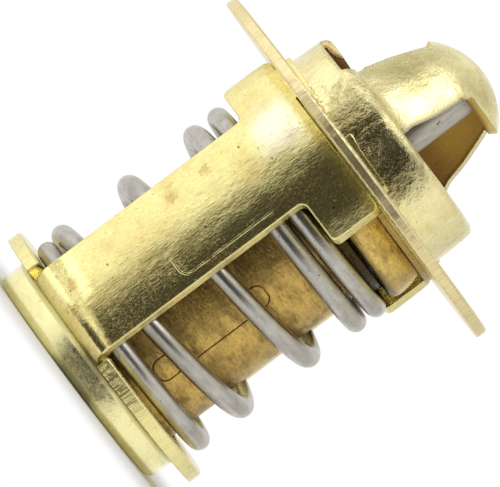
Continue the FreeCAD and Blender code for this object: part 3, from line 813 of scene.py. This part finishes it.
# %% Crown: inside
inward = ramp(tree, calculate(tree, "MULTIPLY", place["Outward"], -1.0), 0.1, 0.4)
under = ramp(tree, calculate(tree, "MULTIPLY", place["Up"], -1.0), 0.35, 0.6)
inside = both(tree, either(tree, inward, under), ramp(tree, place["Height"], 1.5, 3.0))
depth = ramp(tree, place["Height"], 8.0, 14.0)
sill = ramp(tree, place["Height"], 7.2, 8.2, 1.0, 0.0)
inner_colour = blend(tree, depth, rgb(0.62, 0.38, 0.11), rgb(1.0, 0.66, 0.14))
inner_colour = blend(tree, sill, inner_colour, rgb(1.0, 0.70, 0.30))
varnished = ramp(tree, inside, 0.0, 1.0, 1.0, 0.05)
print("with its inside", len(tree.nodes), "nodes")

# %% [markdown]
# Dark patches on the foot of the wall beside the leg are painted reflection, and olive
# patches on the cap and on a strap are painted shade. The notch beside each strap is tinted
# golden brown, and the lip under the flange is darkened as painted shade.

# %% Crown: painted reflection and shade
WALL_REFLECTION_SPOTS = [(-1.0, -17.3, 4.6), (2.0, -17.1, 4.0), (10.6, -13.4, 4.2)]
OLIVE_SHADE_SPOTS = [(3.5, -2.8, 19.8), (-1.2, -9.4, 12.4)]

spot_noise = streaks(tree, spot, (1.0, 1.0, 1.0), 0.55, 5.0)
from_wall_reflection = nearest(tree, place, WALL_REFLECTION_SPOTS)
# Dark patches on the wall's foot beside the leg: painted reflection.
painted_wall_reflection = ragged(tree, from_wall_reflection, spot_noise, 7.0, 5.0, 9.0, 0.68)
# Olive patches on the cap and a strap: painted shade.
painted_olive_shade = ragged(tree, nearest(tree, place, OLIVE_SHADE_SPOTS), spot_noise, 6.0, 3.6, 7.6, 0.5)
notch = both(tree, between(tree, place["Height"], 6.4, 7.9, 0.15),
             ramp(tree, place["Outward"], 0.3, 0.6, 1.0, 0.0))
# The lip under the flange is darkened as painted shade.
lip_painted_shade = ramp(tree, place["Height"], -0.2, 0.0, 1.0, 0.0)
colour = blend(tree, painted_olive_shade, brass["Color"], rgb(0.42, 0.36, 0.12))
colour = blend(tree, painted_wall_reflection, colour, rgb(0.19, 0.145, 0.05))
colour = blend(tree, inside, colour, inner_colour)
colour = blend(tree, both(tree, notch, 0.8), colour, rgb(0.86, 0.60, 0.26))
colour = blend(tree, both(tree, lip_painted_shade, 0.85), colour, rgb(0.36, 0.23, 0.045))
print("with its stains", len(tree.nodes), "nodes")

# %% [markdown]
# The wall's foot round the painted reflection is also wrinkled, where the metal gathered
# as it was drawn. A wide Bevel radius softens the corner between strap and wall, as drawing does.

# %% Crown: wrinkles, and put it together
wrinkled = ramp(tree, from_wall_reflection, 4.0, 9.0, 1.0, 0.0)
wrinkles = both(tree, streaks(tree, spot, (1.0, 1.0, 1.0), 1.1, 3.0), wrinkled)
height = total(tree, (brass["Height"], 1.0), (rings, 0.02), (wrinkles, 0.17))
roughness = total(tree, (brass["Roughness"], 1.0), (inside, 0.2), (notch, 0.15))
finish_surface(tree, shader, colour, roughness, height, rounding=1.3, metallic=varnished)
dress(material, "crown")

# %% [markdown]
# ### Flange
# Both faces of the flange are flat rolled sheet, mottled by the seal that pressed on
# them. Its rim is a cut edge, but a worn one, so the sheared stripes are faint.

# %% Flange brass
FLANGE_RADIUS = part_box("flange")[1].x / MM

material, tree, shader, place = start_material("flange_brass")
spot = place["Position"]
brass = worn(tree, place, Fresh=rgb(0.90, 0.82, 0.44), Tarnish=rgb(0.70, 0.55, 0.26), Patch_size=7.0,
             Patch_share=0.5, Grain_stretch=(0.1, 1.0, 1.0), Grain_height=0.010, Skin_height=0.04,
             Lump_height=0.07, Dent_height=0.3, Mottle=0.32, Pit_share=0.3, Shine=0.18, Flecks=0.12)
sheared = ramp(tree, place["Radius"], FLANGE_RADIUS - 0.35, FLANGE_RADIUS - 0.15)
shear = use_group(tree, shear_group, {
    "Position": spot, "Color": rgb(0.92, 0.79, 0.43), "Depth": 0.02, "Contrast": 0.18})
colour = blend(tree, sheared, brass["Color"], shear["Color"])
roughness = total(tree, (brass["Roughness"], 1.0), (sheared, 0.12))
height = total(tree, (brass["Height"], 1.0), (both(tree, sheared, shear["Height"]), 1.0))
finish_surface(tree, shader, colour, roughness, height, rounding=0.15)
dress(material, "flange")

# %% [markdown]
# ### Valve head, sleeve and element
# These pieces were never polished. The sleeve is rolled from darker strip, with stains
# and scratches that run round it. Just under the head a nearly black band is painted shadow.
# Three materials differ only in their colours and how dull they are, so one function makes them.

# %% Dull brass for the valve
GRIME = rgb(0.16, 0.10, 0.045)
SCRATCH_BROWN = rgb(0.18, 0.12, 0.05)
PAINTED_SHADOW = rgb(0.04, 0.025, 0.01)


def dull_brass(name, fresh, tarnish, share, shine):
    """Unpolished brass in two colours, with round stains and a painted shadow under the head."""
    material, tree, shader, place = start_material(name)
    spot = place["Position"]
    brass = worn(tree, place, Fresh=fresh, Tarnish=tarnish, Patch_share=share, Shine=shine,
                 Patch_size=1.6, Patch_stretch=(0.35, 0.35, 1.0), Grain_stretch=(0.12, 0.12, 1.0),
                 Grain_height=0.014, Skin_stretch=(0.6, 0.6, 1.0), Skin_height=0.05, Lump_height=0.05,
                 Dent_height=0.12, Mottle=0.42, Pit_share=0.6)
    lines = use_group(tree, scratch_group, {
        "Position": spot, "Stretch": (0.15, 0.15, 1.3), "Width": 0.018, "Share": 0.5})["Mask"]
    grime = ramp(tree, streaks(tree, spot, (0.6, 0.6, 1.0), 0.45, 8.0), 0.50, 0.72)
    shadow_under_head = between(tree, place["Height"], -9.0, -5.0, 0.7)
    colour = blend(tree, both(tree, grime, 0.55), brass["Color"], GRIME)
    colour = blend(tree, both(tree, lines, 0.35), colour, SCRATCH_BROWN)
    # A nearly black band just under the head is painted shadow.
    colour = blend(tree, both(tree, shadow_under_head, 0.96), colour, PAINTED_SHADOW)
    roughness = total(tree, (brass["Roughness"], 1.0), (grime, 0.15))
    height = total(tree, (brass["Height"], 1.0), (lines, -0.02))
    finish_surface(tree, shader, colour, roughness, height, rounding=0.25)
    return material


dress(dull_brass("valve_brass", rgb(0.76, 0.55, 0.17), rgb(0.50, 0.34, 0.10), 0.6, 0.20), "valve_head")
dress(dull_brass("sleeve_brass", rgb(0.62, 0.42, 0.12), rgb(0.30, 0.20, 0.06), 0.8, 0.24), "sleeve")
dress(dull_brass("element_brass", rgb(0.60, 0.46, 0.18), rgb(0.36, 0.25, 0.09), 0.6, 0.30),
      "element_plate", "element_guide", "element_case")

# %% [markdown]
# ### Piston and clip
# The rod is ground steel, grey with a few rust pits, and the clip is blued spring
# steel. Marks pulled out along the rod make it look ground.

# %% Steel for the rod and the clip
RUST = rgb(0.10, 0.07, 0.05)


def steel(name, clean, stained, shine, stretch):
    """Steel in two greys, with stretched marks and rust pits."""
    material, tree, shader, place = start_material(name)
    spot = place["Position"]
    marks = streaks(tree, spot, stretch, 2.2, 5.0)
    pits = pitted(tree, spot, 0.9, 0.17, 0.3)
    colour = blend(tree, ramp(tree, marks, 0.35, 0.7), clean, stained)
    colour = blend(tree, both(tree, pits, 0.7), colour, RUST)
    roughness = total(tree, (marks, 0.12), (pits, 0.2), base=shine)
    height = total(tree, (marks, 0.006), (pits, -0.02))
    finish_surface(tree, shader, colour, roughness, height, rounding=0.1)
    return material


dress(steel("piston_steel", rgb(0.58, 0.55, 0.47), rgb(0.44, 0.42, 0.37), 0.34, (1.0, 1.0, 0.15)), "piston")
dress(steel("clip_steel", rgb(0.32, 0.32, 0.34), rgb(0.16, 0.15, 0.17), 0.30, (1.0, 1.0, 1.0)),
      "retaining_clip")

# %% [markdown]
# ### Rubber and wax
# Inside the case, a black rubber sock seals the rod from the wax. It is dusty, which a
# fine cloud of paler grey shows.

# %% Rubber boot
material, tree, shader, place = start_material("boot_rubber")
spot = place["Position"]
dust = streaks(tree, spot, (1.0, 1.0, 1.0), 1.4, 6.0)
colour = blend(tree, ramp(tree, dust, 0.4, 0.8), rgb(0.018, 0.018, 0.019), rgb(0.07, 0.068, 0.064))
roughness = ramp(tree, dust, 0.3, 0.7, 0.50, 0.72)
finish_surface(tree, shader, colour, roughness, calculate(tree, "MULTIPLY", dust, 0.02), metallic=0.0)
dress(material, "rubber_boot")

# %% [markdown]
# The wax is mixed with copper powder, so that heat gets through it quickly. The powder
# is the pits group again, with many small pits painted copper.

# %% Wax charge
material, tree, shader, place = start_material("wax")
spot = place["Position"]
powder = pitted(tree, spot, 0.30, 0.45, 0.8)
cloud = streaks(tree, spot, (1.0, 1.0, 1.0), 0.6, 5.0)
colour = blend(tree, ramp(tree, cloud, 0.3, 0.7), rgb(0.62, 0.40, 0.24), rgb(0.72, 0.52, 0.34))
colour = blend(tree, both(tree, powder, 0.8), colour, rgb(0.50, 0.20, 0.09))
roughness = ramp(tree, cloud, 0.3, 0.7, 0.35, 0.50)
height = total(tree, (cloud, 0.05), (powder, 0.01))
finish_surface(tree, shader, colour, roughness, height, metallic=0.0)
dress(material, "wax_charge")

# %% [markdown]
# ## Spring
# The spring is one length of drawn steel wire. Its end turns are wound close so that
# they sit flat, and the turns between them are open. A Screw modifier could wind it,
# but only with one pitch all the way. Here the middle line follows the winding rule:
# each step falls by the closed or the open pitch, with a short ease between them.

# %% The spring's sizes
COIL_RADIUS = 15.85 * MM
COIL_TOP = -7.25 * MM
COIL_BOTTOM = -37.5 * MM
TOTAL_TURNS = 4.7
TOP_CLOSED = 1.5
BOTTOM_CLOSED = 0.7
EASE_TURNS = 0.35
TOP_PITCH = 3.2 * MM
BOTTOM_PITCH = 1.9 * MM
TIP_COMPASS = math.radians(113.0)
STEPS = 300
TURNS_PER_STEP = TOTAL_TURNS / STEPS


def openness(turn):
    """How far the winding has opened at this turn, and the pitch of the closed turns near it."""
    from_top = (turn - TOP_CLOSED) / EASE_TURNS
    from_bottom = (TOTAL_TURNS - BOTTOM_CLOSED - turn) / EASE_TURNS
    if from_top < from_bottom:
        return min(max(from_top, 0.0), 1.0), TOP_PITCH
    return min(max(from_bottom, 0.0), 1.0), BOTTOM_PITCH


print("the spring is", round((COIL_TOP - COIL_BOTTOM) / MM, 2), "mm long between its wire's middles")

# %% [markdown]
# What the closed turns leave of the length decides the open turns' pitch.

# %% Wind the middle line
winding = [openness((i + 0.5) * TURNS_PER_STEP) for i in range(STEPS)]
closed_fall = sum(TURNS_PER_STEP * (1.0 - share) * pitch for share, pitch in winding)
open_turns = sum(TURNS_PER_STEP * share for share, pitch in winding)
open_pitch = (COIL_TOP - COIL_BOTTOM - closed_fall) / open_turns
heights = [COIL_TOP]
for share, pitch in winding:
    heights.append(heights[-1] - (pitch + (open_pitch - pitch) * share) * TURNS_PER_STEP)
middle_line = []
for i, z in enumerate(heights):
    angle = TIP_COMPASS - 2.0 * math.pi * i * TURNS_PER_STEP
    middle_line.append((COIL_RADIUS * math.cos(angle), COIL_RADIUS * math.sin(angle), z))
print("open pitch", round(open_pitch / MM, 2), "mm over", len(middle_line), "points")

# %% [markdown]
# Geometry Nodes sweep a round wire along the middle line. They also store how far along
# and where across the wire each point lies, so that the finish can follow the wire.

# %% Nodes that draw the wire
wire_tree, enter, leave = new_group("drawn wire", {
    "Middle line": ("Geometry", None), "Wire radius": ("Float", 1.0 * MM), "Sides": ("Int", 32),
    "Finish": ("Material", None)}, {"Wire": "Geometry"}, kind="GeometryNodeTree")
length_along = add(wire_tree, "GeometryNodeSplineParameter").outputs["Length"]
marked = add(wire_tree, "GeometryNodeStoreNamedAttribute", {
    "Geometry": enter["Middle line"], "Name": "along", "Value": length_along},
    data_type="FLOAT", domain="POINT")
circle = add(wire_tree, "GeometryNodeCurvePrimitiveCircle", {
    "Resolution": enter["Sides"], "Radius": enter["Wire radius"]})
circle_place = add(wire_tree, "GeometryNodeInputPosition").outputs[0]
ring = add(wire_tree, "GeometryNodeStoreNamedAttribute", {
    "Geometry": circle.outputs[0], "Name": "across", "Value": circle_place},
    data_type="FLOAT_VECTOR", domain="POINT")
swept = add(wire_tree, "GeometryNodeCurveToMesh", {
    "Curve": marked.outputs[0], "Profile Curve": ring.outputs[0], "Fill Caps": True})
real = add(wire_tree, "GeometryNodeRealizeInstances", {0: swept.outputs[0]})
finished = add(wire_tree, "GeometryNodeSetMaterial", {
    "Geometry": real.outputs[0], "Material": enter["Finish"]})
give(wire_tree, leave, Wire=finished.outputs[0])

# %% [markdown]
# ### Spring steel
# Drawing pulls the wire through a hard die, which leaves fine lines along it. Oil and
# heat leave it a dull warm grey, with darker smudges and a few brown pits. A pattern on
# Object coordinates would cut across the wire, so this one reads the stored attributes.

# %% Spring steel
spring_steel = bpy.data.materials.new("spring_steel")
spring_steel.use_nodes = True
tree = spring_steel.node_tree
shader = tree.nodes["Principled BSDF"]
along = add(tree, "ShaderNodeAttribute", attribute_name="along").outputs["Fac"]
across = add(tree, "ShaderNodeAttribute", attribute_name="across").outputs["Vector"]
lengthwise = add(tree, "ShaderNodeCombineXYZ", {"Z": along}).outputs[0]
on_wire = vector_step(tree, "ADD", across, lengthwise)
on_wire = vector_step(tree, "MULTIPLY", on_wire, (1000.0,) * 3)
drawn = streaks(tree, on_wire, (1.0, 1.0, 0.10), 3.0, 3.0)
peel = streaks(tree, on_wire, (1.0, 1.0, 0.6), 5.0, 2.0)
smudge = streaks(tree, on_wire, (1.0, 1.0, 0.5), 0.8, 4.0)
pits = pitted(tree, on_wire, 0.7, 0.17, 0.4)
bright = both(tree, ramp(tree, drawn, 0.45, 0.65), 0.25)
colour = blend(tree, ramp(tree, smudge, 0.35, 0.68), rgb(0.54, 0.515, 0.455), rgb(0.42, 0.395, 0.35))
colour = blend(tree, bright, colour, rgb(0.66, 0.64, 0.60))
colour = blend(tree, both(tree, pits, 0.6), colour, rgb(0.16, 0.11, 0.07))
roughness = total(tree, (smudge, 0.15), (drawn, 0.10), (pits, 0.1), base=0.17)
height = total(tree, (drawn, 0.02), (peel, 0.012), (smudge, 0.03), (pits, -0.02))
finish_surface(tree, shader, colour, roughness, height)
print("spring steel has", len(tree.nodes), "nodes")

# %% [markdown]
# The modifier's inputs are set by their identifiers before the wire is first made. The
# result becomes a plain mesh, smooth round the wire and flat at its cut ends.

# %% Draw the wire
WIRE_RADIUS = 1.4 * MM
WIRE_SIDES = 32

curve = bpy.data.curves.new("spring_path", "CURVE")
curve.dimensions = "3D"
spline = curve.splines.new("POLY")
spline.points.add(len(middle_line) - 1)
for point, middle in zip(spline.points, middle_line):
    point.co = (*middle, 1.0)
drawing = bpy.data.objects.new("spring_drawing", curve)
bpy.context.scene.collection.objects.link(drawing)
modifier = drawing.modifiers.new("drawn wire", "NODES")
modifier.node_group = wire_tree
sockets = {item.name: item.identifier for item in wire_tree.interface.items_tree if item.in_out == "INPUT"}
modifier[sockets["Wire radius"]] = WIRE_RADIUS
modifier[sockets["Sides"]] = WIRE_SIDES
modifier[sockets["Finish"]] = spring_steel
evaluated = drawing.evaluated_get(bpy.context.evaluated_depsgraph_get())
wire_mesh = bpy.data.meshes.new_from_object(evaluated)
drawing.modifiers.clear()
bpy.data.objects.remove(drawing)
for face in wire_mesh.polygons:
    face.use_smooth = len(face.vertices) == 4
print("spring wire:", len(wire_mesh.polygons), "faces,", [a.name for a in wire_mesh.attributes])

# %% [markdown]
# The wire takes the place of the CAD spring and stays with the frame.

spring = bpy.data.objects.new("spring_wire", wire_mesh)
bpy.context.scene.collection.objects.link(spring)
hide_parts("coil_spring")
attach(spring, "frame")
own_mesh(spring)
